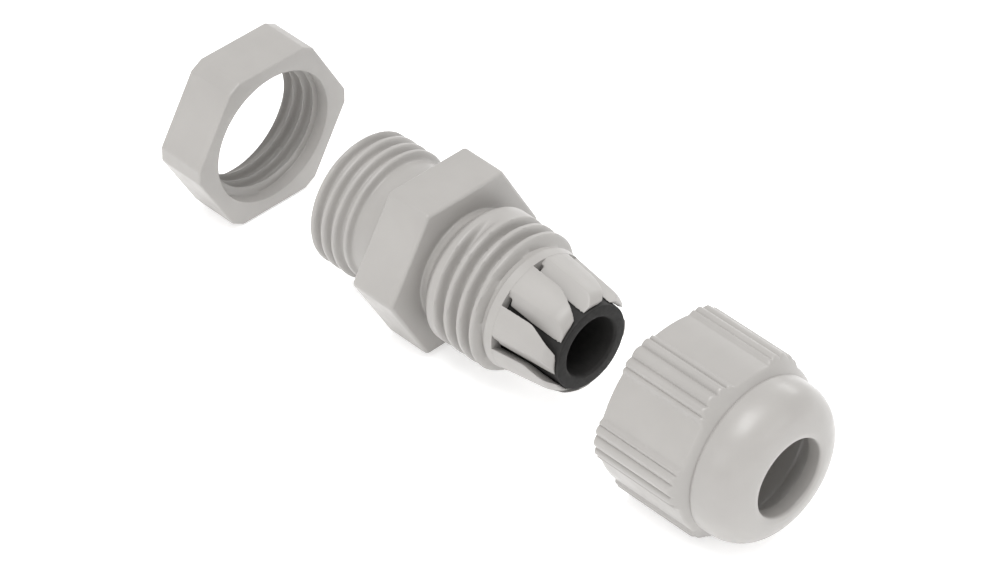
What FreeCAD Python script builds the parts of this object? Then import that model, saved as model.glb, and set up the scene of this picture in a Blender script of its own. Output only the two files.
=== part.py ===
import FreeCAD, Part
import math
import os

# Cable gland with a PG7 entry thread, laid out along one axis in the order it is fitted.
# Frame: X is the gland's axis and points towards the dome nut, Z is up.
# The origin is on the axis, in the plane of the hexagon face that seats on a panel.
# Angles round the axis are counted from straight up (+Z) towards +Y. All sizes are in millimetres.

AXIS = FreeCAD.Vector(1, 0, 0)
ORIGIN = FreeCAD.Vector(0, 0, 0)

# Hexagon of the body
SPANNER_SIZE = 15.0
HEX_LENGTH = 4.75
HEX_EDGE_RADIUS = 0.35
SEAT_RELIEF_RADIUS = 6.5
SEAT_RELIEF_DEPTH = 0.2

# Running room between an outer and an inner thread
THREAD_ROOM_RADIAL = 0.1
THREAD_ROOM_AXIAL = 0.1
# How far a groove's section stands out past the surface that it cuts, and how far its slopes do
TOOL_OVERRUN = 0.3
SLOPE_OVERRUN = 0.06
# How far other cutting and joining shapes run on past the ends of what they cut or join
CUT_PAST = 1.0

# Entry thread, PG7: 12.5 mm outside, 1.27 mm pitch
ENTRY_CREST_RADIUS = 6.25
ENTRY_ROOT_RADIUS = 5.6
ENTRY_PITCH = 1.27
# Where along the axis a thread's groove passes straight down; its ridge is half a pitch further on
ENTRY_THREAD_OFFSET = 0.0
ENTRY_CREST_WIDTH = 0.32
ENTRY_ROOT_WIDTH = 0.27
ENTRY_LENGTH = 8.0
ENTRY_NECK_LENGTH = 1.8
ENTRY_NECK_RADIUS = 5.5
ENTRY_CHAMFER = 0.35

# Cap thread, which the dome nut runs on
CAP_CREST_RADIUS = 6.3
CAP_ROOT_RADIUS = 5.6
CAP_PITCH = 1.5
CAP_THREAD_OFFSET = 0.75
CAP_CREST_WIDTH = 0.42
CAP_ROOT_WIDTH = 0.35
CAP_NECK_RADIUS = 5.2
CAP_THREAD_START = 5.9
CAP_THREAD_END = 13.0

# Passage through the body, and the pocket that holds the seal
PASSAGE_RADIUS = 4.0
PASSAGE_CHAMFER = 0.3
SEAL_POCKET_RADIUS = 4.52
SEAL_POCKET_START = 9.5

# Claw: slotted fingers that carry on from the end of the cap thread
FINGER_COUNT = 8
FINGER_PITCH = 360.0 / FINGER_COUNT
FIRST_FINGER_ANGLE = 19.5
FINGER_ROOT_X = 13.4
FINGER_ROOT_GAP = 0.05
FINGER_TIP_X = 19.3
FINGER_ROOT_OUTER_RADIUS = 5.5
FINGER_TIP_OUTER_RADIUS = 4.75
FINGER_TIP_INNER_RADIUS = 4.0
FINGER_TIP_ROUND = 0.3
FINGER_KINK_X = 16.7
SLOT_HALF_WIDTH = 0.42
SLOT_TIP_LEAN = 0.72
SLOT_TIP_OPENING = 1.6
# How much narrower the side that meets the next finger's bevel is inside than outside
SLOT_UNDERCUT = 0.55
BEVEL_ANGLE = 48.0
BEVEL_CREST_ANGLE = 14.6
HINGE_RADIUS = 4.6
HINGE_NOTCH_RADIUS = 0.35

# Rubber seal
SEAL_START = 9.6
SEAL_END = 19.5
SEAL_OUTER_RADIUS = 4.42
SEAL_END_OUTER_RADIUS = 3.93
SEAL_HOLE_RADIUS = 2.75
SEAL_EDGE_CHAMFER = 0.25

# Lock nut, shown unscrewed behind the body
LOCK_NUT_START = -24.0
LOCK_NUT_LENGTH = 5.0
LOCK_NUT_TURNED_RADIUS = 8.38
LOCK_NUT_RECESS_RADIUS = 6.42
LOCK_NUT_RECESS_DEPTH = 1.2
NUT_EDGE_CHAMFER = 0.2

# Dome nut, shown unscrewed in front of the claw
DOME_NUT_START = 28.0
DOME_FLAT_RADIUS = 7.6
DOME_GRIP_RADIUS = 8.0
DOME_GRIP_END = 36.3
DOME_RIB_RADIUS = 8.45
DOME_RIB_ROUND = 0.42
DOME_RIB_STEP_ANGLE = 9.0
DOME_RIB_COUNT_PER_CORNER = 3
DOME_SHOULDER_X = 37.5
DOME_SHOULDER_RADIUS = 7.2
DOME_STRAIGHT_LENGTH = 0.8
DOME_ROUND_RADIUS = 3.4
DOME_EXIT_RADIUS = 3.7
DOME_EXIT_LIP = 0.25
DOME_THREAD_END = 35.0
DOME_BORE_RADIUS = 5.9
DOME_CONE_START = 38.3
DOME_CONE_START_RADIUS = 5.7
DOME_LAND_START = 40.3

# Plain ring let into the back face of each nut
RIM_OUTER_RADIUS = 7.1
RIM_LENGTH = 1.1
RIM_ROOM = 0.05


def turned(points):
    """A solid turned round the gland's axis from a closed outline of (x, radius) points."""
    corners = [FreeCAD.Vector(x, 0, radius) for x, radius in points]
    outline = Part.makePolygon(corners + corners[:1])
    return Part.Face(outline).revolve(ORIGIN, AXIS, 360)


def tube(start, end, inner, outer):
    """A plain tube along the gland's axis."""
    return turned([(start, inner), (end, inner), (end, outer), (start, outer)])


def rod(start, end, radius):
    """A plain rod along the gland's axis."""
    return Part.makeCylinder(radius, end - start, FreeCAD.Vector(start, 0, 0), AXIS)


def at_angle(shape, degrees):
    """A copy of the shape, turned round the axis from straight up towards +Y."""
    copy = shape.copy()
    copy.rotate(ORIGIN, AXIS, -degrees)
    return copy


def hexagon(half_across_flats, start, end):
    """A hexagonal bar along the gland's axis with one flat on top."""
    corner_radius = half_across_flats / math.cos(math.radians(30))
    corners = []
    for side in range(6):
        angle = math.radians(30 + 60 * side)
        across, up = corner_radius * math.sin(angle), corner_radius * math.cos(angle)
        corners.append(FreeCAD.Vector(start, across, up))
    outline = Part.makePolygon(corners + corners[:1])
    return Part.Face(outline).extrude(FreeCAD.Vector(end - start, 0, 0))


def cut_groove(shape, pitch, start, end, offset, section):
    """Cut a right-handed helical groove into the shape, one whole turn at a time.

    Grooves of one pitch and offset are all in step. The first turn begins before start, and the last
    one ends before end. The section is symmetrical, given as (radius, width) pairs from one side of it
    to the other.
    """
    path = Part.Wire(Part.makeHelix(pitch, pitch, section[0][0]))
    corners = [FreeCAD.Vector(radius, 0, -width / 2) for radius, width in section]
    corners += [FreeCAD.Vector(radius, 0, width / 2) for radius, width in reversed(section)]
    turn = path.makePipeShell([Part.makePolygon(corners + corners[:1])], True, True)
    if turn.Volume < 0:
        # A sweep of a single turn comes out inside out.
        turn.reverse()
    turn.rotate(ORIGIN, FreeCAD.Vector(0, 1, 0), 90)
    first = math.floor((start - offset) / pitch)
    last = math.floor((end - offset) / pitch)
    for number in range(first, last):
        tool = turn.copy()
        tool.translate(FreeCAD.Vector(offset + number * pitch, 0, 0))
        shape = shape.cut(tool)
    return shape


def cut_outer_thread(shape, pitch, offset, start, end, crest_radius, root_radius, crest_width, root_width):
    """Leave an outer thread on a rod. The groove's sides go on sloping a little past the crest."""
    slope = (pitch - crest_width - root_width) / (crest_radius - root_radius)
    mouth_width = pitch - crest_width + slope * SLOPE_OVERRUN
    section = [
        (root_radius, root_width),
        (crest_radius + SLOPE_OVERRUN, mouth_width),
        (crest_radius + TOOL_OVERRUN, mouth_width),
    ]
    return cut_groove(shape, pitch, start, end, offset, section)


def cut_inner_thread(shape, pitch, offset, start, end, crest_radius, root_radius, crest_width, root_width):
    """Leave an inner thread in a nut. Its groove clears an outer ridge, half a pitch further on."""
    slope = (pitch - crest_width - root_width) / (crest_radius - root_radius)
    floor_radius = crest_radius + THREAD_ROOM_RADIAL
    floor_width = crest_width + 2 * THREAD_ROOM_AXIAL - slope * THREAD_ROOM_RADIAL
    bore_radius = root_radius + THREAD_ROOM_RADIAL
    mouth_radius = bore_radius - SLOPE_OVERRUN
    mouth_width = floor_width + slope * (floor_radius - mouth_radius)
    section = [
        (bore_radius - TOOL_OVERRUN, mouth_width),
        (mouth_radius, mouth_width),
        (floor_radius, floor_width),
    ]
    return cut_groove(shape, pitch, start, end, offset + pitch / 2, section)


def body_outside():
    """Entry thread, hexagon and cap thread before the grooves and the passage are cut."""
    hex_bar = hexagon(SPANNER_SIZE / 2, 0, HEX_LENGTH)
    hex_bar = hex_bar.makeFillet(HEX_EDGE_RADIUS, hex_bar.Edges)
    entry = turned([
        (-ENTRY_LENGTH, 0),
        (-ENTRY_LENGTH, ENTRY_CREST_RADIUS - ENTRY_CHAMFER),
        (-ENTRY_LENGTH + ENTRY_CHAMFER, ENTRY_CREST_RADIUS),
        (-ENTRY_NECK_LENGTH, ENTRY_CREST_RADIUS),
        (-ENTRY_NECK_LENGTH, ENTRY_NECK_RADIUS),
        (CUT_PAST, ENTRY_NECK_RADIUS),
        (CUT_PAST, 0),
    ])
    cap = turned([
        (HEX_LENGTH - CUT_PAST, 0),
        (HEX_LENGTH - CUT_PAST, CAP_NECK_RADIUS),
        (CAP_THREAD_START, CAP_NECK_RADIUS),
        (CAP_THREAD_START, CAP_CREST_RADIUS),
        (CAP_THREAD_END, CAP_CREST_RADIUS),
        (CAP_THREAD_END, FINGER_ROOT_OUTER_RADIUS),
        (FINGER_ROOT_X - FINGER_ROOT_GAP, FINGER_ROOT_OUTER_RADIUS),
        (FINGER_ROOT_X - FINGER_ROOT_GAP, 0),
    ])
    relief = tube(-CUT_PAST, SEAT_RELIEF_DEPTH, ENTRY_NECK_RADIUS, SEAT_RELIEF_RADIUS)
    return hex_bar.cut(relief).fuse(entry).fuse(cap)


def body_passage():
    """The way through the body for the cable, and the pocket for the seal."""
    return turned([
        (-ENTRY_LENGTH - CUT_PAST, 0),
        (-ENTRY_LENGTH - CUT_PAST, PASSAGE_RADIUS + PASSAGE_CHAMFER),
        (-ENTRY_LENGTH, PASSAGE_RADIUS + PASSAGE_CHAMFER),
        (-ENTRY_LENGTH + PASSAGE_CHAMFER, PASSAGE_RADIUS),
        (SEAL_POCKET_START, PASSAGE_RADIUS),
        (SEAL_POCKET_START, SEAL_POCKET_RADIUS),
        (FINGER_TIP_X, SEAL_POCKET_RADIUS),
        (FINGER_TIP_X, 0),
    ])


def gland_body():
    body = body_outside().cut(body_passage())
    body = cut_outer_thread(
        body, ENTRY_PITCH, ENTRY_THREAD_OFFSET,
        -ENTRY_LENGTH - ENTRY_PITCH / 2, -ENTRY_NECK_LENGTH + ENTRY_PITCH / 2,
        ENTRY_CREST_RADIUS, ENTRY_ROOT_RADIUS, ENTRY_CREST_WIDTH, ENTRY_ROOT_WIDTH,
    )
    return cut_outer_thread(
        body, CAP_PITCH, CAP_THREAD_OFFSET, CAP_THREAD_START + CAP_PITCH, CAP_THREAD_END + CAP_PITCH,
        CAP_CREST_RADIUS, CAP_ROOT_RADIUS, CAP_CREST_WIDTH, CAP_ROOT_WIDTH,
    )


def claw_radius(x):
    """Outside radius of the claw's cone."""
    slope = (FINGER_TIP_OUTER_RADIUS - FINGER_ROOT_OUTER_RADIUS) / (FINGER_TIP_X - FINGER_ROOT_X)
    return FINGER_ROOT_OUTER_RADIUS + slope * (x - FINGER_ROOT_X)


def slot_side(wall, away, undercut):
    """A block that takes away all on one side of a slot wall, given as (x, offset) points along the axis.

    The offsets hold on the outside of the claw, and the undercut is added through its thickness.
    """
    lean = undercut / (FINGER_ROOT_OUTER_RADIUS - SEAL_POCKET_RADIUS)
    corners = [FreeCAD.Vector(x, offset - lean * claw_radius(x), 0) for x, offset in wall]
    corners += [FreeCAD.Vector(wall[-1][0], away, 0), FreeCAD.Vector(wall[0][0], away, 0)]
    outline = Part.makePolygon(corners + corners[:1])
    height = 2 * FINGER_ROOT_OUTER_RADIUS
    return Part.Face(outline).extrude(FreeCAD.Vector(0, lean * height, height))


def bevel_block(before, after, far):
    """A block that takes away all above a bevel, which keeps to one angle round the cone of the claw."""
    share = math.cos(math.radians(BEVEL_ANGLE - BEVEL_CREST_ANGLE))
    corners = [FreeCAD.Vector(x, -2 * far, share * claw_radius(x)) for x in (before, after)]
    corners += [FreeCAD.Vector(after, -2 * far, far), FreeCAD.Vector(before, -2 * far, far)]
    outline = Part.makePolygon(corners + corners[:1])
    return Part.Face(outline).extrude(FreeCAD.Vector(0, 4 * far, 0))


def claw_finger():
    """One finger, standing straight up from the axis before it is turned to its place."""
    sector = turned([
        (FINGER_ROOT_X, SEAL_POCKET_RADIUS),
        (FINGER_TIP_X, FINGER_TIP_INNER_RADIUS),
        (FINGER_TIP_X, FINGER_TIP_OUTER_RADIUS - FINGER_TIP_ROUND),
        (FINGER_TIP_X - FINGER_TIP_ROUND, FINGER_TIP_OUTER_RADIUS),
        (FINGER_ROOT_X, FINGER_ROOT_OUTER_RADIUS),
    ])
    before, after = FINGER_ROOT_X - CUT_PAST, FINGER_TIP_X + CUT_PAST
    far = 3 * FINGER_ROOT_OUTER_RADIUS
    slant_side = slot_side(
        [
            (before, -SLOT_HALF_WIDTH),
            (FINGER_KINK_X, -SLOT_HALF_WIDTH),
            (FINGER_TIP_X, -SLOT_TIP_OPENING),
            (after, -SLOT_TIP_OPENING),
        ],
        far, SLOT_UNDERCUT,
    )
    bevel_side = slot_side(
        [(FINGER_ROOT_X, SLOT_HALF_WIDTH), (FINGER_TIP_X, -SLOT_TIP_LEAN), (after, -SLOT_TIP_LEAN)],
        -far, 0,
    )
    bevel = bevel_block(before, after, far)
    lower_half = Part.makeBox(after - before, 4 * far, 4 * far, FreeCAD.Vector(before, -2 * far, -4 * far))
    notch = Part.makeCylinder(
        HINGE_NOTCH_RADIUS, 2 * far,
        FreeCAD.Vector(FINGER_ROOT_X, -far, HINGE_RADIUS), FreeCAD.Vector(0, 1, 0),
    )
    finger = sector.cut(lower_half)
    finger = finger.cut(at_angle(slant_side, FINGER_PITCH / 2))
    finger = finger.cut(at_angle(bevel_side, -FINGER_PITCH / 2))
    finger = finger.cut(at_angle(bevel, -BEVEL_ANGLE))
    return finger.cut(notch)


def seal():
    """Rubber sleeve that the fingers press on to the cable."""
    return turned([
        (SEAL_START, SEAL_HOLE_RADIUS),
        (SEAL_END - SEAL_EDGE_CHAMFER, SEAL_HOLE_RADIUS),
        (SEAL_END, SEAL_HOLE_RADIUS + SEAL_EDGE_CHAMFER),
        (SEAL_END, SEAL_END_OUTER_RADIUS),
        (FINGER_ROOT_X, SEAL_OUTER_RADIUS),
        (SEAL_START, SEAL_OUTER_RADIUS),
    ])


def nut_rim(back, bore_radius):
    """Plain ring at the back face of a nut."""
    return tube(back, back + RIM_LENGTH, bore_radius, RIM_OUTER_RADIUS)


def rim_seat(back, bore_radius):
    """The room in a nut for its plain ring."""
    return tube(
        back - CUT_PAST, back + RIM_LENGTH + RIM_ROOM,
        bore_radius - CUT_PAST, RIM_OUTER_RADIUS + RIM_ROOM,
    )


def lock_nut():
    end = LOCK_NUT_START + LOCK_NUT_LENGTH
    corner_chamfer = LOCK_NUT_TURNED_RADIUS - SPANNER_SIZE / 2
    turned_corners = turned([
        (LOCK_NUT_START, 0),
        (LOCK_NUT_START, LOCK_NUT_TURNED_RADIUS - corner_chamfer / 2),
        (LOCK_NUT_START + corner_chamfer / 4, LOCK_NUT_TURNED_RADIUS),
        (end - corner_chamfer / 4, LOCK_NUT_TURNED_RADIUS),
        (end, LOCK_NUT_TURNED_RADIUS - corner_chamfer / 2),
        (end, 0),
    ])
    bore_radius = ENTRY_ROOT_RADIUS + THREAD_ROOM_RADIAL
    bore = turned([
        (LOCK_NUT_START - CUT_PAST, 0),
        (LOCK_NUT_START - CUT_PAST, bore_radius),
        (end - LOCK_NUT_RECESS_DEPTH, bore_radius),
        (end - LOCK_NUT_RECESS_DEPTH, LOCK_NUT_RECESS_RADIUS),
        (end - NUT_EDGE_CHAMFER, LOCK_NUT_RECESS_RADIUS),
        (end, LOCK_NUT_RECESS_RADIUS + NUT_EDGE_CHAMFER),
        (end + CUT_PAST, LOCK_NUT_RECESS_RADIUS + NUT_EDGE_CHAMFER),
        (end + CUT_PAST, 0),
    ])
    nut = hexagon(SPANNER_SIZE / 2, LOCK_NUT_START, end).common(turned_corners).cut(bore)
    nut = cut_inner_thread(
        nut, ENTRY_PITCH, ENTRY_THREAD_OFFSET, LOCK_NUT_START - ENTRY_PITCH / 2, end,
        ENTRY_CREST_RADIUS, ENTRY_ROOT_RADIUS, ENTRY_CREST_WIDTH, ENTRY_ROOT_WIDTH,
    )
    return nut.cut(rim_seat(LOCK_NUT_START, bore_radius))


def lock_nut_rim():
    return nut_rim(LOCK_NUT_START, ENTRY_CREST_RADIUS + 2 * THREAD_ROOM_RADIAL)


def dome_outside():
    """The smooth round end of the dome nut, as a turned solid with an arc for its outline."""
    arc_centre_x = DOME_SHOULDER_X + DOME_STRAIGHT_LENGTH
    arc_centre_radius = DOME_SHOULDER_RADIUS - DOME_ROUND_RADIUS
    top = FreeCAD.Vector(arc_centre_x, 0, DOME_SHOULDER_RADIUS)
    middle = FreeCAD.Vector(
        arc_centre_x + DOME_ROUND_RADIUS * math.sin(math.radians(45)),
        0,
        arc_centre_radius + DOME_ROUND_RADIUS * math.cos(math.radians(45)),
    )
    front = FreeCAD.Vector(arc_centre_x + DOME_ROUND_RADIUS, 0, arc_centre_radius)
    corners = [
        front,
        FreeCAD.Vector(front.x, 0, 0),
        FreeCAD.Vector(DOME_GRIP_END - CUT_PAST, 0, 0),
        FreeCAD.Vector(DOME_GRIP_END - CUT_PAST, 0, DOME_SHOULDER_RADIUS),
        top,
    ]
    edges = [Part.makeLine(a, b) for a, b in zip(corners, corners[1:])]
    edges.append(Part.Arc(top, middle, front).toShape())
    return Part.Face(Part.Wire(edges)).revolve(ORIGIN, AXIS, 360)


def dome_grip():
    """The hexagonal grip with a group of ribs along each corner, its front end sloping in to the dome."""
    half = (DOME_RIB_COUNT_PER_CORNER - 1) / 2
    grip = hexagon(DOME_FLAT_RADIUS, DOME_NUT_START, DOME_SHOULDER_X)
    grip = grip.common(rod(DOME_NUT_START, DOME_SHOULDER_X, DOME_GRIP_RADIUS))
    rib = Part.makeCylinder(
        DOME_RIB_ROUND, DOME_SHOULDER_X - DOME_NUT_START,
        FreeCAD.Vector(DOME_NUT_START, 0, DOME_RIB_RADIUS - DOME_RIB_ROUND), AXIS,
    )
    ribs = []
    for corner in range(6):
        for number in range(DOME_RIB_COUNT_PER_CORNER):
            ribs.append(at_angle(rib, 30 + 60 * corner + (number - half) * DOME_RIB_STEP_ANGLE))
    grip = grip.multiFuse(ribs)
    slope = (DOME_SHOULDER_X - DOME_GRIP_END) / (DOME_RIB_RADIUS - DOME_SHOULDER_RADIUS)
    slope_start = DOME_GRIP_END - slope * CUT_PAST
    envelope = turned([
        (DOME_NUT_START, 0),
        (DOME_NUT_START, DOME_RIB_RADIUS + CUT_PAST),
        (slope_start, DOME_RIB_RADIUS + CUT_PAST),
        (DOME_SHOULDER_X, DOME_SHOULDER_RADIUS),
        (DOME_SHOULDER_X, 0),
    ])
    return grip.common(envelope)


def dome_nut():
    front = DOME_SHOULDER_X + DOME_STRAIGHT_LENGTH + DOME_ROUND_RADIUS
    bore_radius = CAP_ROOT_RADIUS + THREAD_ROOM_RADIAL
    lead_in = CAP_CREST_RADIUS + THREAD_ROOM_RADIAL - bore_radius
    bore = turned([
        (DOME_NUT_START - CUT_PAST, 0),
        (DOME_NUT_START - CUT_PAST, bore_radius + lead_in),
        (DOME_NUT_START, bore_radius + lead_in),
        (DOME_NUT_START + lead_in, bore_radius),
        (DOME_THREAD_END, bore_radius),
        (DOME_THREAD_END, DOME_BORE_RADIUS),
        (DOME_CONE_START - DOME_BORE_RADIUS + DOME_CONE_START_RADIUS, DOME_BORE_RADIUS),
        (DOME_CONE_START, DOME_CONE_START_RADIUS),
        (DOME_LAND_START, DOME_EXIT_RADIUS),
        (front - DOME_EXIT_LIP, DOME_EXIT_RADIUS),
        (front + DOME_EXIT_LIP, DOME_EXIT_RADIUS + 2 * DOME_EXIT_LIP),
        (front + DOME_EXIT_LIP, 0),
    ])
    nut = cut_inner_thread(
        dome_grip().fuse(dome_outside()).cut(bore),
        CAP_PITCH, CAP_THREAD_OFFSET, DOME_NUT_START - CAP_PITCH / 2, DOME_THREAD_END,
        CAP_CREST_RADIUS, CAP_ROOT_RADIUS, CAP_CREST_WIDTH, CAP_ROOT_WIDTH,
    )
    return nut.cut(rim_seat(DOME_NUT_START, bore_radius))


def dome_nut_rim():
    return nut_rim(DOME_NUT_START, CAP_CREST_RADIUS + 2 * THREAD_ROOM_RADIAL)


def save(name, shape):
    """Write one piece as STEP, and print its volume so that a bad solid shows."""
    solids = shape.Solids
    if len(solids) != 1 or not shape.isValid():
        print("CHECK", name, "solids:", len(solids), "valid:", shape.isValid())
    solids[0].exportStep(os.path.join("parts", name + ".step"))
    print(name, "volume", round(shape.Volume, 2), "mm3")


def main():
    os.makedirs("parts", exist_ok=True)
    save("gland_body", gland_body())
    finger = claw_finger()
    for number in range(FINGER_COUNT):
        save("claw_finger_" + str(number + 1), at_angle(finger, FIRST_FINGER_ANGLE - FINGER_PITCH * number))
    save("seal", seal())
    save("lock_nut", lock_nut())
    save("lock_nut_rim", lock_nut_rim())
    save("dome_nut", dome_nut())
    save("dome_nut_rim", dome_nut_rim())


main()
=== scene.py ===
import math

import bpy
from mathutils import Matrix, Vector


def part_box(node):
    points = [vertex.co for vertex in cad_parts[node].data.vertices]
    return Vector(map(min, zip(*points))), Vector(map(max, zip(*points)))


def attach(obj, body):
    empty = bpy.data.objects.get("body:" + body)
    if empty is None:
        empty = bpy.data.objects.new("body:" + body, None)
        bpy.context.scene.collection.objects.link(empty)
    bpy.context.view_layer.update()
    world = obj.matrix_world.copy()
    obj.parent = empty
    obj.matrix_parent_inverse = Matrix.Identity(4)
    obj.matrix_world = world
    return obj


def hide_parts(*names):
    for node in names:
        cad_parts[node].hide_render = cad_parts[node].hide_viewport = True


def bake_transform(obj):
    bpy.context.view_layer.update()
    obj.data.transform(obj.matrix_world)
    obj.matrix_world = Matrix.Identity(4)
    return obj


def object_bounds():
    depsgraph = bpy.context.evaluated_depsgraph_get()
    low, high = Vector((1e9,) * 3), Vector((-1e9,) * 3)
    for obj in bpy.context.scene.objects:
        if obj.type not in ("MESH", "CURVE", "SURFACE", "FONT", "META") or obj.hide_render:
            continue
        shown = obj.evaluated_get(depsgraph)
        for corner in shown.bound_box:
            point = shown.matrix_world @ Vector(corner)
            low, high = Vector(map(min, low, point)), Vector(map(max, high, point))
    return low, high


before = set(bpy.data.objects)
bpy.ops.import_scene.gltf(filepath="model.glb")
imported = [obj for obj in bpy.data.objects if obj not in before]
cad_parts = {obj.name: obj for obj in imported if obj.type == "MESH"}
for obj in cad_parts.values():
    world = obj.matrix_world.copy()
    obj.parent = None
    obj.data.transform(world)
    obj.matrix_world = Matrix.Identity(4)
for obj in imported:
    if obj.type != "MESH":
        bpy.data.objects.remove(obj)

# Cable gland, laid out along X in the order it is fitted: lock nut, body with claw and seal, dome nut.
# Shapes are worked out in millimetres and turned into metres when a mesh is finished.
# Angles round the axis are counted from straight up (+Z) towards +Y, in degrees.

MM = 0.001
CAD_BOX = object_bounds()
AXIS = Vector((1, 0, 0))


# ---------------------------------------------------------------- sizes read from the frame

def node_span(node):
    """Where a CAD node starts and ends along X, in millimetres."""
    low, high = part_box(node)
    return low.x / MM, high.x / MM


BODY_START, RING_END = node_span("gland_body")
FINGER_START, FINGER_TIP = node_span("claw_finger_1")
SEAL_START, SEAL_END = node_span("seal")
LOCK_START, LOCK_END = node_span("lock_nut_rim")[0], node_span("lock_nut")[1]
DOME_START, DOME_END = node_span("dome_nut_rim")[0], node_span("dome_nut")[1]

# Body
HEX_APOTHEM = 7.5
HEX_LENGTH = 4.75
HEX_CORNER_ROUND = 0.5
HEX_EDGE_ROUND = 0.35
SEAT_RELIEF = 0.2
SEAT_RELIEF_RADIUS = 6.5
ENTRY_PITCH, ENTRY_OFFSET = 1.27, -0.12
ENTRY_ROOT, ENTRY_CREST = 5.55, 6.25
ENTRY_NECK = 5.5
ENTRY_LEAD = 0.5
# Stretches along X over which one shape runs into the next
ENTRY_FADE = (-3.9, -3.1)
ENTRY_NECK_RAMP = (-3, -2.2)
CAP_PITCH, CAP_OFFSET = 1.5, 0.9
CAP_ROOT, CAP_CREST = 5.35, 6.35
CAP_NECK, CAP_NECK_ROUND = 5.2, 0.15
CAP_RAMP = (5.3, 6.7)
CAP_FIRST_GROOVE = (7.6, 7.8)
CAP_END = (11.75, 12.45)
COLLAR_START = (12.4, 12.6)
PASSAGE = 4.0
SEAL_POCKET = 4.52
SEAL_POCKET_START = 9.5

# Claw. Offsets of a slot's walls are from the slot's middle plane, angles from the finger's middle.
FINGER_COUNT = 8
FINGER_STEP = 360 / FINGER_COUNT
FIRST_FINGER = 19.5
FINGER_ROOT_RADIUS, FINGER_FRONT_RADIUS = 5.5, 4.75
FINGER_FRONT_INNER = 4.0
FINGER_NOSE, FINGER_NOSE_DROP, FINGER_NOSE_ROUND = 0.65, 0.5, 0.25
FINGER_KINK = 16.6
FINGER_OVERLAP = 0.5
SLOT_HALF = 0.42
SLOT_END = 13.75
SLOT_OPENING = 1.18
SLOT_UNDERCUT = 0.5
LEFT_WALL = (-0.13, -0.45, -0.67)
LEFT_WALL_KINK = 0.45
BEVEL_ANGLE, BEVEL_CREST = -48, -12
VOXEL, SOFTEN_STEPS = 0.055, 14

# Seal
SEAL_HOLE = 2.75
SEAL_OUTER, SEAL_FRONT_OUTER = 4.42, 3.93
SEAL_EDGE, SEAL_MOUTH = 0.12, 0.28

# Where a thread ridge's slope begins and ends, counted from the ridge's middle in pitches
OUTER_RIDGE = (0.09, 0.43)
NUT_GROOVE = (0.17, 0.49)

# Nuts. The face radius is a ring on a nut's flat end, between its hole and its edge.
THREAD_ROOM = 0.1
NUT_FACE = 6.9
LOCK_APOTHEM = 7.72
LOCK_CORNER_ROUND = 0.1
LOCK_TURNED, LOCK_FACET_JOIN = 8.52, 0.03
LOCK_RECESS = 6.34
LOCK_RECESS_DEPTH = 1.2
LOCK_MOUTH = 0.12
DOME_APOTHEM, DOME_CORNER_ROUND = 7.6, 0.3
DOME_TWIST = 2
# How flat a flat of the grip is, from 0 for round to 1, and how far its round share stands out
FLATNESS, FLAT_BULGE = 0.25, 0.18
# The grip's ribs from the middle of a corner to the flat: degrees from the middle, radius of crest or groove
RIBS = ((0, 8.45), (4.4, 8.16), (7.7, 8.36), (11, 8.02), (12.7, 8.14), (15.5, 7.8))
RIB_CREST = RIBS[0][1]
RIB_SHARPNESS = 2.2
RIB_JOIN = 0.06
GRIP_END, GRIP_END_ROUND = 36.3, 0.2
CREASE_X, CREASE_RADIUS = 37.4, 7.1
DOME_RADIUS = 7.22
DOME_ROUND = 3.4
DOME_FULLNESS = 2.15
DOME_ARC_END = 4
DOME_NUT_ROOT = 5.6
DOME_THREAD_END = 34.3
DOME_BORE, DOME_BORE_START, DOME_BORE_END = 5.9, 34.5, 37.8
CONE_START, CONE_START_RADIUS, CONE_END = 38.4, 5.6, 40.3
EXIT_RADIUS = 3.6
EXIT_LIP = 0.3

# Looks: colours, and how rough each kind of moulding is
NYLON = (0.315, 0.303, 0.29)
BODY_ROUGHNESS = 0.42
DOME_ROUGHNESS = 0.34
RUBBER_DARK, RUBBER_LIGHT = (0.0165, 0.016, 0.0155), (0.024, 0.023, 0.022)
PAPER_DARK, PAPER_LIGHT = (0.93, 0.93, 0.93), (0.96, 0.96, 0.96)

# Soft boxes in metres: name, place, size, power in watts
LIGHTS = (
    ("key", (0.05, -0.1, 0.5), (0.3, 0.3), 1.9),
    ("side", (0, -0.5, 0.2), (0.3, 0.15), 0.25),
    ("back", (-0.1, 0.5, 0.25), (0.3, 0.15), 0.5),
    ("front", (0.5, 0.15, 0.2), (0.3, 0.15), 0.2),
)
LIGHT_AIM = (0.01, 0, 0)


# ---------------------------------------------------------------- mesh helpers

def smooth(low, high, value):
    """0 below low, 1 above high, with an even curve between them. Low may be the larger one."""
    t = min(1, max(0, (value - low) / (high - low)))
    return t * t * (3 - 2 * t)


def soft_min(a, b, width):
    """The smaller of two values, with the change from one to the other rounded over a width."""
    h = max(width - abs(a - b), 0) / width
    return min(a, b) - h * h * width / 4


def soft_max(a, b, width):
    return -soft_min(-a, -b, width)


def at(x, radius, angle):
    """The point at this place along the axis, this far from it and this far round it."""
    a = math.radians(angle)
    return Vector((x, radius * math.sin(a), radius * math.cos(a)))


def arc(x, radius, size, first, last, steps=5):
    """Outline points on a circle about (x, radius); its angle counts from +X towards outwards."""
    points = []
    for step in range(steps + 1):
        a = math.radians(first + (last - first) * step / steps)
        points.append((x + size * math.cos(a), radius + size * math.sin(a)))
    return points


def spread_angles(per_side, pull):
    """Angles for a hexagonal piece, closer together at its corners."""
    angles = []
    for side in range(6):
        for step in range(per_side):
            t = -1 + 2 * step / per_side
            angles.append(60 * side + 30 * (t + pull * math.sin(math.pi * t) / math.pi))
    return angles


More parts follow.
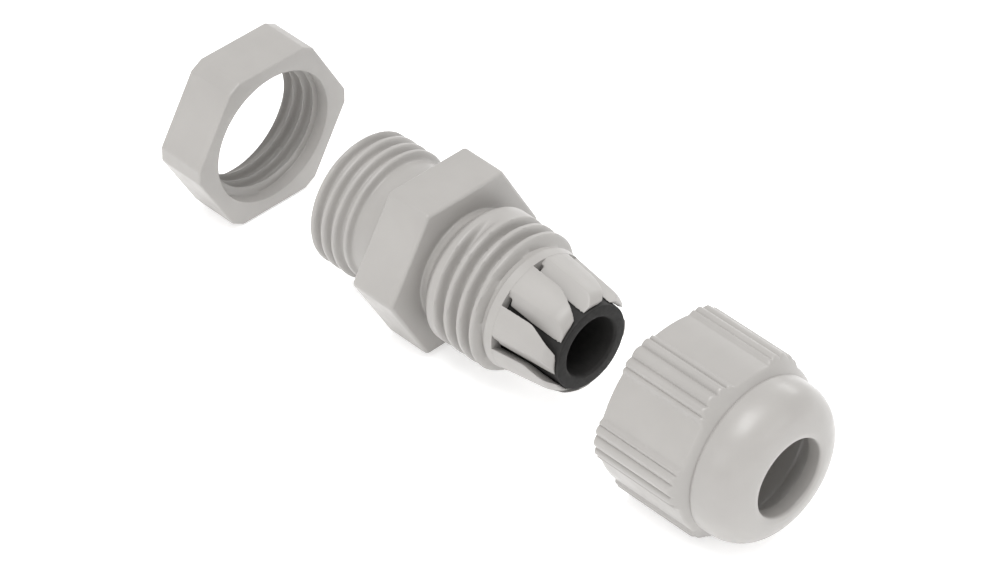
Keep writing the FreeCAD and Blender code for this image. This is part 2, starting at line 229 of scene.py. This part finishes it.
def hexagon(angle, apothem, corner):
    """Radius of a hexagon with one flat on top and rounded corners."""
    from_flat = abs((angle + 30) % 60 - 30)
    centre = (apothem - corner) / math.cos(math.radians(30))
    if math.tan(math.radians(from_flat)) * apothem <= (apothem - corner) * math.tan(math.radians(30)):
        return apothem / math.cos(math.radians(from_flat))
    psi = math.radians(30 - from_flat)
    return centre * math.cos(psi) + math.sqrt(corner ** 2 - (centre * math.sin(psi)) ** 2)


def finished(name, vertices, faces, sharp=50):
    """A smooth-shaded object in metres from points in millimetres, creased where faces meet sharply."""
    mesh = bpy.data.meshes.new(name)
    mesh.from_pydata([v * MM for v in vertices], [], faces)
    mesh.shade_smooth()
    mesh.set_sharp_from_angle(angle=math.radians(sharp))
    piece = bpy.data.objects.new(name, mesh)
    bpy.context.scene.collection.objects.link(piece)
    return piece


def skin(rows, size, joined=False):
    """Faces between each closed row of points and the next, and from the last to the first if joined."""
    faces = []
    for k in range(rows if joined else rows - 1):
        here = k * size
        there = (k + 1) % rows * size
        for j in range(size):
            i = (j + 1) % size
            faces.append((here + j, here + i, there + i, there + j))
    return faces


def end_faces(rows, size):
    """Faces that close the first and the last row of points."""
    last = (rows - 1) * size
    return [tuple(range(size)), tuple(reversed(range(last, last + size)))]


def loft(name, rings, angles):
    """A ring-shaped piece. Each ring is (x, radius of angle); the last ring joins the first one."""
    vertices = [at(x, radius(angle), angle) for x, radius in rings for angle in angles]
    return finished(name, vertices, skin(len(rings), len(angles), joined=True))


def rounds(points):
    """Rings of one radius all round, from (x, radius) points."""
    return [(x, lambda angle, r=r: r) for x, r in points]


def run(start, end, step):
    """Evenly spaced places from start to end, about a step apart."""
    count = max(1, round(abs(end - start) / step))
    return [start + (end - start) * k / count for k in range(count + 1)]


# ---------------------------------------------------------------- threads

def ridge(x, angle, pitch, offset, slope=OUTER_RIDGE):
    """Height of a right-handed thread's ridge from 0 to 1, and the place along X of the ridge's middle."""
    turn = (x - offset) / pitch + angle / 360 - 0.5
    off = turn - math.floor(turn) - 0.5
    return 1 - smooth(*slope, abs(off)), x - off * pitch


def entry_thread(x, angle):
    """The entry thread, which fades into a neck at the hexagon and is rounded over at its open end."""
    height, middle = ridge(x, angle, ENTRY_PITCH, ENTRY_OFFSET)
    fade = 1 - smooth(*ENTRY_FADE, middle)
    root = ENTRY_ROOT + (ENTRY_NECK - ENTRY_ROOT) * smooth(*ENTRY_NECK_RAMP, x)
    radius = root + (ENTRY_CREST - ENTRY_ROOT) * height * fade
    depth = max(0, BODY_START + ENTRY_LEAD - x)
    return min(radius, ENTRY_CREST - ENTRY_LEAD + math.sqrt(ENTRY_LEAD ** 2 - depth ** 2))


def claw_cone(x):
    """Outside radius of the claw's cone, which begins at the collar behind the fingers."""
    slope = (FINGER_FRONT_RADIUS - FINGER_ROOT_RADIUS) / (FINGER_TIP - FINGER_START)
    return FINGER_ROOT_RADIUS + slope * (x - FINGER_START)


def cap_thread(x, angle):
    """A long ramp up from the neck, the thread's grooves, and the collar where the claw begins."""
    height, middle = ridge(x, angle, CAP_PITCH, CAP_OFFSET)
    groove = middle + CAP_PITCH / 2 * (1 if x > middle else -1)
    depth = (CAP_CREST - CAP_ROOT) * (1 - height) * smooth(*CAP_FIRST_GROOVE, groove)
    crest = CAP_NECK + (CAP_CREST - CAP_NECK) * smooth(*CAP_RAMP, x)
    crest += (CAP_ROOT - CAP_CREST) * smooth(*CAP_END, x)
    thread = max(crest - depth, min(crest, CAP_ROOT))
    return soft_max(thread, CAP_NECK + (claw_cone(x) - CAP_NECK) * smooth(*COLLAR_START, x), 0.03)


def nut_thread(pitch, offset, root, crest):
    """Inner radius of a nut's thread, clear of the outer thread that runs in it."""
    def radius(x, angle):
        height = ridge(x, angle, pitch, offset, NUT_GROOVE)[0]
        return root + THREAD_ROOM + (crest - root) * height
    return radius


# ---------------------------------------------------------------- body

def hex_ring(x, apothem):
    corner = HEX_CORNER_ROUND + apothem - HEX_APOTHEM
    return x, lambda angle: hexagon(angle, apothem, max(0.05, corner))


def body_rings():
    """The body's outline, from the entry end over the outside to the claw's roots and back inside."""
    rings = rounds([(BODY_START, 4.3), (BODY_START, 5.0), (BODY_START, 5.6)])
    places = run(BODY_START, BODY_START + 0.4, 0.05) + run(BODY_START + 0.5, -0.9, 0.095)
    rings += [(x, lambda a, x=x: entry_thread(x, a)) for x in places]
    rings += rounds([(-0.4, ENTRY_NECK), (SEAT_RELIEF - 0.1, ENTRY_NECK)])
    rings += rounds([(SEAT_RELIEF, ENTRY_NECK + 0.1), (SEAT_RELIEF, SEAT_RELIEF_RADIUS - 0.05)])
    rings += rounds([(SEAT_RELIEF - 0.05, SEAT_RELIEF_RADIUS), (0, SEAT_RELIEF_RADIUS + 0.05)])
    edge = HEX_EDGE_ROUND
    back = arc(edge, HEX_APOTHEM - edge, edge, 180, 90)
    front = arc(HEX_LENGTH - edge, HEX_APOTHEM - edge, edge, 90, 0)
    rings += [hex_ring(x, apothem) for x, apothem in back + front]
    neck = CAP_NECK_ROUND
    rings += rounds([(HEX_LENGTH, CAP_CREST + 0.05), (HEX_LENGTH, CAP_NECK + 2 * neck)])
    rings += rounds(arc(HEX_LENGTH + neck, CAP_NECK + neck, neck, 180, 270, 3))
    rings += [(x, lambda a, x=x: cap_thread(x, a)) for x in run(5.1, 12.9, 0.1)]
    rings += rounds([(FINGER_START, FINGER_ROOT_RADIUS), (FINGER_START, SEAL_POCKET)])
    rings += rounds([(SEAL_POCKET_START, SEAL_POCKET), (SEAL_POCKET_START, PASSAGE)])
    rings += rounds([(-6, PASSAGE), (BODY_START + 0.3, PASSAGE)])
    return rings


def make_body():
    piece = loft("moulded_body", body_rings(), spread_angles(per_side=48, pull=0.8))
    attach(piece, "gland_body")
    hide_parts("gland_body")
    return piece


# ---------------------------------------------------------------- claw

def finger_radius(x):
    """Outside radius of the claw: a slight cone with a sloping front end, tucked in behind the roots."""
    radius = claw_cone(FINGER_START + abs(x - FINGER_START))
    nose = claw_cone(FINGER_TIP) - FINGER_NOSE_DROP * (x - FINGER_TIP + FINGER_NOSE) / FINGER_NOSE
    return soft_min(radius, nose, FINGER_NOSE_ROUND)


def left_wall(along):
    """Offset of the slot's wall on a finger's left, from the finger's root at 0 to its tip at 1."""
    root, kink, tip = LEFT_WALL
    behind = min(1, along / LEFT_WALL_KINK)
    ahead = max(0, (along - LEFT_WALL_KINK) / (1 - LEFT_WALL_KINK))
    return root + (kink - root) * behind + (tip - kink) * ahead


def wall_point(slot_angle, offset, height):
    """A point on a slot's wall: offset from the slot's middle plane, and this high above the axis."""
    a = math.radians(slot_angle)
    return (offset * math.cos(a) + height * math.sin(a), -offset * math.sin(a) + height * math.cos(a))


def arc_between(first, last, radius, steps):
    """Points on a circle round the axis between two points, without the two."""
    a, b = math.atan2(*first), math.atan2(*last)
    angles = [a + (b - a) * k / steps for k in range(1, steps)]
    return [(radius * math.sin(t), radius * math.cos(t)) for t in angles]


def finger_section(x):
    """The finger's section as (sideways, up) points, with the finger's middle straight up."""
    half = FINGER_STEP / 2
    along = max(0, (x - FINGER_START) / (FINGER_TIP - FINGER_START))
    left = SLOT_HALF if x < SLOT_END else left_wall(along)
    right = -SLOT_HALF - SLOT_OPENING * max(0, (x - FINGER_KINK) / (FINGER_TIP - FINGER_KINK))
    under = right - SLOT_UNDERCUT
    outer = finger_radius(x)
    inner = SEAL_POCKET + (FINGER_FRONT_INNER - SEAL_POCKET) * along
    distance = claw_cone(x) * math.cos(math.radians(BEVEL_CREST - BEVEL_ANGLE))
    lean = math.radians(BEVEL_ANGLE + half)
    inner_left = wall_point(-half, left, math.sqrt(inner ** 2 - left ** 2))
    cut_left = wall_point(-half, left, (distance - left * math.sin(lean)) / math.cos(lean))
    crest_angle = math.radians(BEVEL_ANGLE) + math.acos(min(1, distance / outer))
    crest = (outer * math.sin(crest_angle), outer * math.cos(crest_angle))
    outer_right = wall_point(half, right, math.sqrt(outer ** 2 - right ** 2))
    inner_right = wall_point(half, under, math.sqrt(inner ** 2 - under ** 2))
    points = [inner_left, cut_left, crest]
    points += arc_between(crest, outer_right, outer, 6)
    points += [outer_right, inner_right]
    return points + arc_between(inner_right, inner_left, inner, 6)


def finger_mesh():
    """One finger standing straight up, in millimetres: lofted, then remeshed finely to soften its edges."""
    places = [FINGER_START - FINGER_OVERLAP, FINGER_START, SLOT_END - 0.05]
    places += run(SLOT_END, FINGER_TIP - 0.9, 0.4) + run(FINGER_TIP - 0.8, FINGER_TIP, 0.1)
    sections = [finger_section(x) for x in places]
    rows, size = len(sections), len(sections[0])
    vertices = [(x, side, up) for x, section in zip(places, sections) for side, up in section]
    mesh = bpy.data.meshes.new("finger")
    mesh.from_pydata(vertices, [], end_faces(rows, size) + skin(rows, size))
    rough = bpy.data.objects.new("finger_rough", mesh)
    bpy.context.scene.collection.objects.link(rough)
    remesh = rough.modifiers.new("remesh", "REMESH")
    remesh.mode = "VOXEL"
    remesh.voxel_size = VOXEL
    soften = rough.modifiers.new("soften", "SMOOTH")
    soften.factor = 0.5
    soften.iterations = SOFTEN_STEPS
    depsgraph = bpy.context.evaluated_depsgraph_get()
    result = bpy.data.meshes.new_from_object(rough.evaluated_get(depsgraph))
    bpy.data.objects.remove(rough)
    return result


def bend_with_claw(piece):
    """Bake the piece's place into its mesh, leaving the object at the origin."""
    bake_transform(piece)


def make_fingers():
    shape = finger_mesh()
    pieces = []
    for number in range(FINGER_COUNT):
        turn = Matrix.Rotation(math.radians(FINGER_STEP * number - FIRST_FINGER), 4, AXIS)
        mesh = shape.copy()
        mesh.transform(Matrix.Scale(MM, 4) @ turn)
        mesh.shade_smooth()
        piece = bpy.data.objects.new(f"finger_{number + 1}", mesh)
        bpy.context.scene.collection.objects.link(piece)
        bend_with_claw(piece)
        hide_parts(f"claw_finger_{number + 1}")
        pieces.append(piece)
    return pieces


# ---------------------------------------------------------------- seal

def seal_outline():
    """The rubber's outline, closed, starting at the back of the hole."""
    slope = (SEAL_FRONT_OUTER - SEAL_OUTER) / (SEAL_END - FINGER_START)
    places = run(FINGER_START, FINGER_START + 1.5, 0.25)
    points = [(SEAL_START, SEAL_HOLE)] + [(x, SEAL_HOLE) for x in places]
    points += arc(SEAL_END - SEAL_MOUTH, SEAL_HOLE + SEAL_MOUTH, SEAL_MOUTH, 270, 360, 6)
    points += arc(SEAL_END - SEAL_EDGE, SEAL_FRONT_OUTER - SEAL_EDGE, SEAL_EDGE, 0, 90, 4)
    points += [(x, SEAL_OUTER + slope * (x - FINGER_START)) for x in reversed(places)]
    return points + [(SEAL_START, SEAL_OUTER)]


def make_seal():
    """The seal in eight sectors, one under each finger."""
    outline = seal_outline()
    size = len(outline)
    steps = 16
    pieces = []
    for number in range(FINGER_COUNT):
        middle = FIRST_FINGER - FINGER_STEP * number
        angles = run(middle - FINGER_STEP / 2, middle + FINGER_STEP / 2, FINGER_STEP / steps)
        vertices = [at(x, radius, angle) for angle in angles for x, radius in outline]
        faces = end_faces(steps + 1, size) + [face[::-1] for face in skin(steps + 1, size)]
        piece = finished(f"seal_sector_{number + 1}", vertices, faces)
        bend_with_claw(piece)
        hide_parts("seal")
        pieces.append(piece)
    return pieces


# ---------------------------------------------------------------- lock nut

def lock_side(x, apothem):
    """A ring of the nut's outside: a hexagon with a narrow flat facet at each corner."""
    turned = LOCK_TURNED + apothem - LOCK_APOTHEM

    def radius(angle):
        facet = turned / math.cos(math.radians((angle + 60) % 60 - 30))
        return soft_min(hexagon(angle, apothem, LOCK_CORNER_ROUND), facet, LOCK_FACET_JOIN)
    return x, radius


def make_lock_nut():
    thread = nut_thread(ENTRY_PITCH, ENTRY_OFFSET, ENTRY_ROOT, ENTRY_CREST)
    edge = 0.2
    lip = 0.08
    rings = rounds([(LOCK_START, NUT_FACE)])
    outside = arc(LOCK_START + edge, LOCK_APOTHEM - edge, edge, 180, 90)
    outside += arc(LOCK_END - edge, LOCK_APOTHEM - edge, edge, 90, 0)
    rings += [lock_side(x, apothem) for x, apothem in outside]
    rings += rounds([(LOCK_END, NUT_FACE + 0.05), (LOCK_END, LOCK_RECESS + lip)])
    rings += rounds(arc(LOCK_END - lip, LOCK_RECESS + lip, lip, 360, 270, 3)[1:])
    step = LOCK_END - LOCK_RECESS_DEPTH
    rings += rounds([(step + 0.15, LOCK_RECESS), (step + 0.05, LOCK_RECESS - 0.04)])
    for x in run(step - 0.02, LOCK_START + LOCK_MOUTH, 0.09):
        rings.append((x, lambda a, x=x: thread(x, a)))
    rings.append((LOCK_START, lambda a: thread(LOCK_START, a) + LOCK_MOUTH))
    piece = loft("hexagon_lock_nut", rings, spread_angles(per_side=48, pull=0.7))
    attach(piece, "lock_nut")
    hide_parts("lock_nut", "lock_nut_rim")
    return piece


# ---------------------------------------------------------------- dome nut

def rib_radius(from_corner):
    """Radius across a group of ribs: rounded crests, sharp grooves, and a slope down to the flat."""
    for number, (end, low) in enumerate(RIBS[1:]):
        start, high = RIBS[number]
        if from_corner <= end:
            t = (from_corner - start) / (end - start)
            if number == len(RIBS) - 2:
                t = smooth(0, 1, t)
            else:
                t = t ** RIB_SHARPNESS if high > low else 1 - (1 - t) ** RIB_SHARPNESS
            return high + (low - high) * t
    return 0


def grip_radius(angle):
    """Radius of the grip: slightly rounded flats with a group of five ribs along each corner."""
    angle -= DOME_TWIST
    from_corner = abs((angle + 60) % 60 - 30)
    flat = FLATNESS * hexagon(angle, DOME_APOTHEM, DOME_CORNER_ROUND)
    flat += (1 - FLATNESS) * (DOME_APOTHEM + FLAT_BULGE)
    return soft_max(flat, rib_radius(from_corner), RIB_JOIN)


def grip_ring(x, inset=0):
    """A ring of the grip, which is cut down by a cone between its front end and the dome's crease."""
    slope = (RIB_CREST - CREASE_RADIUS) / (CREASE_X - GRIP_END)
    cone = RIB_CREST - slope * (x - GRIP_END)
    return x, lambda angle: soft_min(grip_radius(angle) - inset, cone, GRIP_END_ROUND)


def dome_arc(steps=40):
    """Outline of the dome from its shoulder to its front: nearly a quarter circle, filled out a little."""
    power = 2 / DOME_FULLNESS
    points = []
    for step in range(steps + 1):
        a = math.radians(DOME_ARC_END + (90 - DOME_ARC_END) * (1 - step / steps))
        along, out = DOME_ROUND * math.cos(a) ** power, DOME_ROUND * math.sin(a) ** power
        points.append((DOME_END - DOME_ROUND + along, DOME_RADIUS - DOME_ROUND + out))
    return points


def dome_inside():
    """Outline of the dome nut's inside, from the exit hole over a cone and a bore back to its thread."""
    points = [(CONE_END + 0.1, EXIT_RADIUS), (CONE_END, EXIT_RADIUS + 0.03)]
    points += [(CONE_START, CONE_START_RADIUS), (CONE_START - 0.2, DOME_BORE - 0.15)]
    points += [(CONE_START - 0.4, DOME_BORE - 0.02), (DOME_BORE_END, DOME_BORE)]
    return points + [(DOME_BORE_START, DOME_BORE), (DOME_BORE_START - 0.1, DOME_BORE - 0.1)]


def make_dome_nut():
    thread = nut_thread(CAP_PITCH, CAP_OFFSET, DOME_NUT_ROOT, CAP_CREST)
    rings = rounds([(DOME_START, NUT_FACE)])
    edge = 0.12
    for x, inset in arc(DOME_START + edge, edge, -edge, 0, 90, 3):
        rings.append(grip_ring(x, inset))
    rings += [grip_ring(x) for x in run(DOME_START + 0.5, GRIP_END - 0.5, 1.2)]
    rings += [grip_ring(x) for x in run(GRIP_END - 0.35, CREASE_X - 0.1, 0.09)]
    rings += rounds([(CREASE_X, CREASE_RADIUS), (CREASE_X + 0.06, CREASE_RADIUS + 0.02)])
    rings += rounds([(CREASE_X + 0.16, CREASE_RADIUS + 0.12), (CREASE_X + 0.3, DOME_RADIUS)])
    rings += rounds(dome_arc())
    rings += rounds(arc(DOME_END - EXIT_LIP - 0.02, EXIT_RADIUS + EXIT_LIP, EXIT_LIP, 330, 270, 5))
    rings += rounds(dome_inside())
    for x in run(DOME_THREAD_END, DOME_START + 0.9, 0.107):
        rings.append((x, lambda a, x=x: thread(x, a)))
    rings += rounds([(DOME_START + 0.7, 6.45), (DOME_START + 0.2, 6.5), (DOME_START, 6.6)])
    angles = [angle + DOME_TWIST for angle in spread_angles(per_side=84, pull=0.5)]
    piece = loft("ribbed_dome_nut", rings, angles)
    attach(piece, "dome_nut")
    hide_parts("dome_nut", "dome_nut_rim")
    return piece


# ---------------------------------------------------------------- materials

def node(tree, kind, **values):
    """A new shader node with some of its inputs or properties set."""
    made = tree.nodes.new(kind)
    for key, value in values.items():
        if key in made.inputs:
            made.inputs[key].default_value = value
        else:
            setattr(made, key, value)
    return made


def noise(tree, place, size, detail=3.0, roughness=0.5):
    """Noise with features of about this size in millimetres."""
    made = node(tree, "ShaderNodeTexNoise", Scale=1 / (size * MM), Detail=detail, Roughness=roughness)
    tree.links.new(place, made.inputs["Vector"])
    return made.outputs["Fac"]


def ranged(tree, value, low, high, to_low, to_high):
    made = tree.nodes.new("ShaderNodeMapRange")
    for key, number in zip(("From Min", "From Max", "To Min", "To Max"), (low, high, to_low, to_high)):
        made.inputs[key].default_value = number
    tree.links.new(value, made.inputs["Value"])
    return made.outputs["Result"]


def bump(tree, height, strength, distance):
    made = node(tree, "ShaderNodeBump", Strength=strength, Distance=distance * MM)
    tree.links.new(height, made.inputs["Height"])
    return made.outputs["Normal"]


def new_material(name):
    material = bpy.data.materials.new(name)
    material.use_nodes = True
    tree = material.node_tree
    shader = tree.nodes["Principled BSDF"]
    place = tree.nodes.new("ShaderNodeTexCoord").outputs["Object"]
    return material, tree, shader, place


def mottle(tree, shader, pattern, span, dark, light):
    """Base colour that follows a pattern, from dark to light over a span of its values."""
    ramp = tree.nodes.new("ShaderNodeValToRGB")
    for element, position, colour in zip(ramp.color_ramp.elements, span, (dark, light)):
        element.position = position
        element.color = (*colour, 1)
    tree.links.new(pattern, ramp.inputs["Fac"])
    tree.links.new(ramp.outputs["Color"], shader.inputs["Base Color"])


def nylon(name, roughness):
    """Moulded nylon: faint cloudy colour, uneven sheen and a shallow grain."""
    material, tree, shader, place = new_material(name)
    dark, light = [c * 0.955 for c in NYLON], [c * 1.03 for c in NYLON]
    mottle(tree, shader, noise(tree, place, 5.0, 4), (0.3, 0.7), dark, light)
    rough = ranged(tree, noise(tree, place, 1.6, 4), 0.3, 0.7, roughness - 0.05, roughness + 0.06)
    tree.links.new(rough, shader.inputs["Roughness"])
    tree.links.new(bump(tree, noise(tree, place, 0.8, 2), 0.12, 0.003), shader.inputs["Normal"])
    shader.inputs["IOR"].default_value = 1.5
    return material


def rubber(name):
    """Dull black rubber with a fine grain and faint lighter bloom."""
    material, tree, shader, place = new_material(name)
    pattern = noise(tree, place, 0.9, 5, 0.6)
    mottle(tree, shader, pattern, (0.35, 0.75), RUBBER_DARK, RUBBER_LIGHT)
    rough = ranged(tree, noise(tree, place, 0.5, 3), 0.3, 0.7, 0.62, 0.75)
    tree.links.new(rough, shader.inputs["Roughness"])
    tree.links.new(bump(tree, noise(tree, place, 0.1, 3), 0.4, 0.008), shader.inputs["Normal"])
    shader.inputs["Specular IOR Level"].default_value = 0.25
    return material


def paper(name):
    """The plain pale floor, which glows a little so that it stays white."""
    material, tree, shader, place = new_material(name)
    mottle(tree, shader, noise(tree, place, 40.0, 2), (0, 1), PAPER_DARK, PAPER_LIGHT)
    shader.inputs["Roughness"].default_value = 0.9
    shader.inputs["Emission Color"].default_value = (1, 1, 1, 1)
    shader.inputs["Emission Strength"].default_value = 0.42
    return material


def paint(pieces, material):
    for piece in pieces:
        piece.data.materials.clear()
        piece.data.materials.append(material)


# ---------------------------------------------------------------- setting

def make_camera():
    """The viewing angle: 45 degrees round from the side, 40 degrees above the axis, a slight roll."""
    azimuth, elevation, roll = math.radians(44.85), math.radians(39.87), math.radians(0.94)
    target = Vector((8.71, 0, 0.55)) * MM
    distance = 393.98 * MM
    back = Vector((
        math.sin(azimuth) * math.cos(elevation),
        -math.cos(azimuth) * math.cos(elevation),
        math.sin(elevation),
    ))
    level = Vector((math.cos(azimuth), math.sin(azimuth), 0))
    up = back.cross(level)
    right = level * math.cos(roll) + up * math.sin(roll)
    up = back.cross(right)
    lens = bpy.data.cameras.new("camera")
    lens.sensor_width = 36
    lens.lens = 171.2
    lens.clip_start = 0.01
    lens.clip_end = 20
    camera = bpy.data.objects.new("camera", lens)
    place = target + back * distance
    rows = [[right[k], up[k], back[k], place[k]] for k in range(3)] + [[0, 0, 0, 1]]
    camera.matrix_world = Matrix(rows)
    bpy.context.scene.collection.objects.link(camera)
    bpy.context.scene.camera = camera


def make_light(name, place, size, power):
    """A soft box at a place, aimed at the object."""
    lamp = bpy.data.lights.new(name, "AREA")
    lamp.shape = "RECTANGLE"
    lamp.size, lamp.size_y = size
    lamp.energy = power
    box = bpy.data.objects.new(name, lamp)
    box.location = place
    box.rotation_euler = (Vector(LIGHT_AIM) - Vector(place)).to_track_quat("-Z", "Y").to_euler()
    bpy.context.scene.collection.objects.link(box)


def make_setting():
    """White surroundings, the floor under the object, and the soft boxes."""
    scene = bpy.context.scene
    scene.view_settings.view_transform = "Standard"
    world = bpy.data.worlds.new("studio")
    world.use_nodes = True
    world.node_tree.nodes["Background"].inputs["Color"].default_value = (1, 1, 1, 1)
    world.node_tree.nodes["Background"].inputs["Strength"].default_value = 0.9
    scene.world = world
    lowest = CAD_BOX[0].z
    half = 3
    ends = ((-half, -half), (half, -half), (half, half), (-half, half))
    corners = [Vector((x, y, lowest)) for x, y in ends]
    mesh = bpy.data.meshes.new("floor")
    mesh.from_pydata(corners, [], [(0, 1, 2, 3)])
    floor = bpy.data.objects.new("floor", mesh)
    scene.collection.objects.link(floor)
    paint([floor], paper("pale_floor"))
    for light in LIGHTS:
        make_light(*light)


make_camera()
body = make_body()
fingers = make_fingers()
seal = make_seal()
lock_nut = make_lock_nut()
dome_nut = make_dome_nut()
paint([body] + fingers, nylon("nylon_body", BODY_ROUGHNESS))
paint([lock_nut], nylon("nylon_lock_nut", BODY_ROUGHNESS))
paint([dome_nut], nylon("nylon_dome_nut", DOME_ROUGHNESS))
paint(seal, rubber("rubber_seal"))
make_setting()
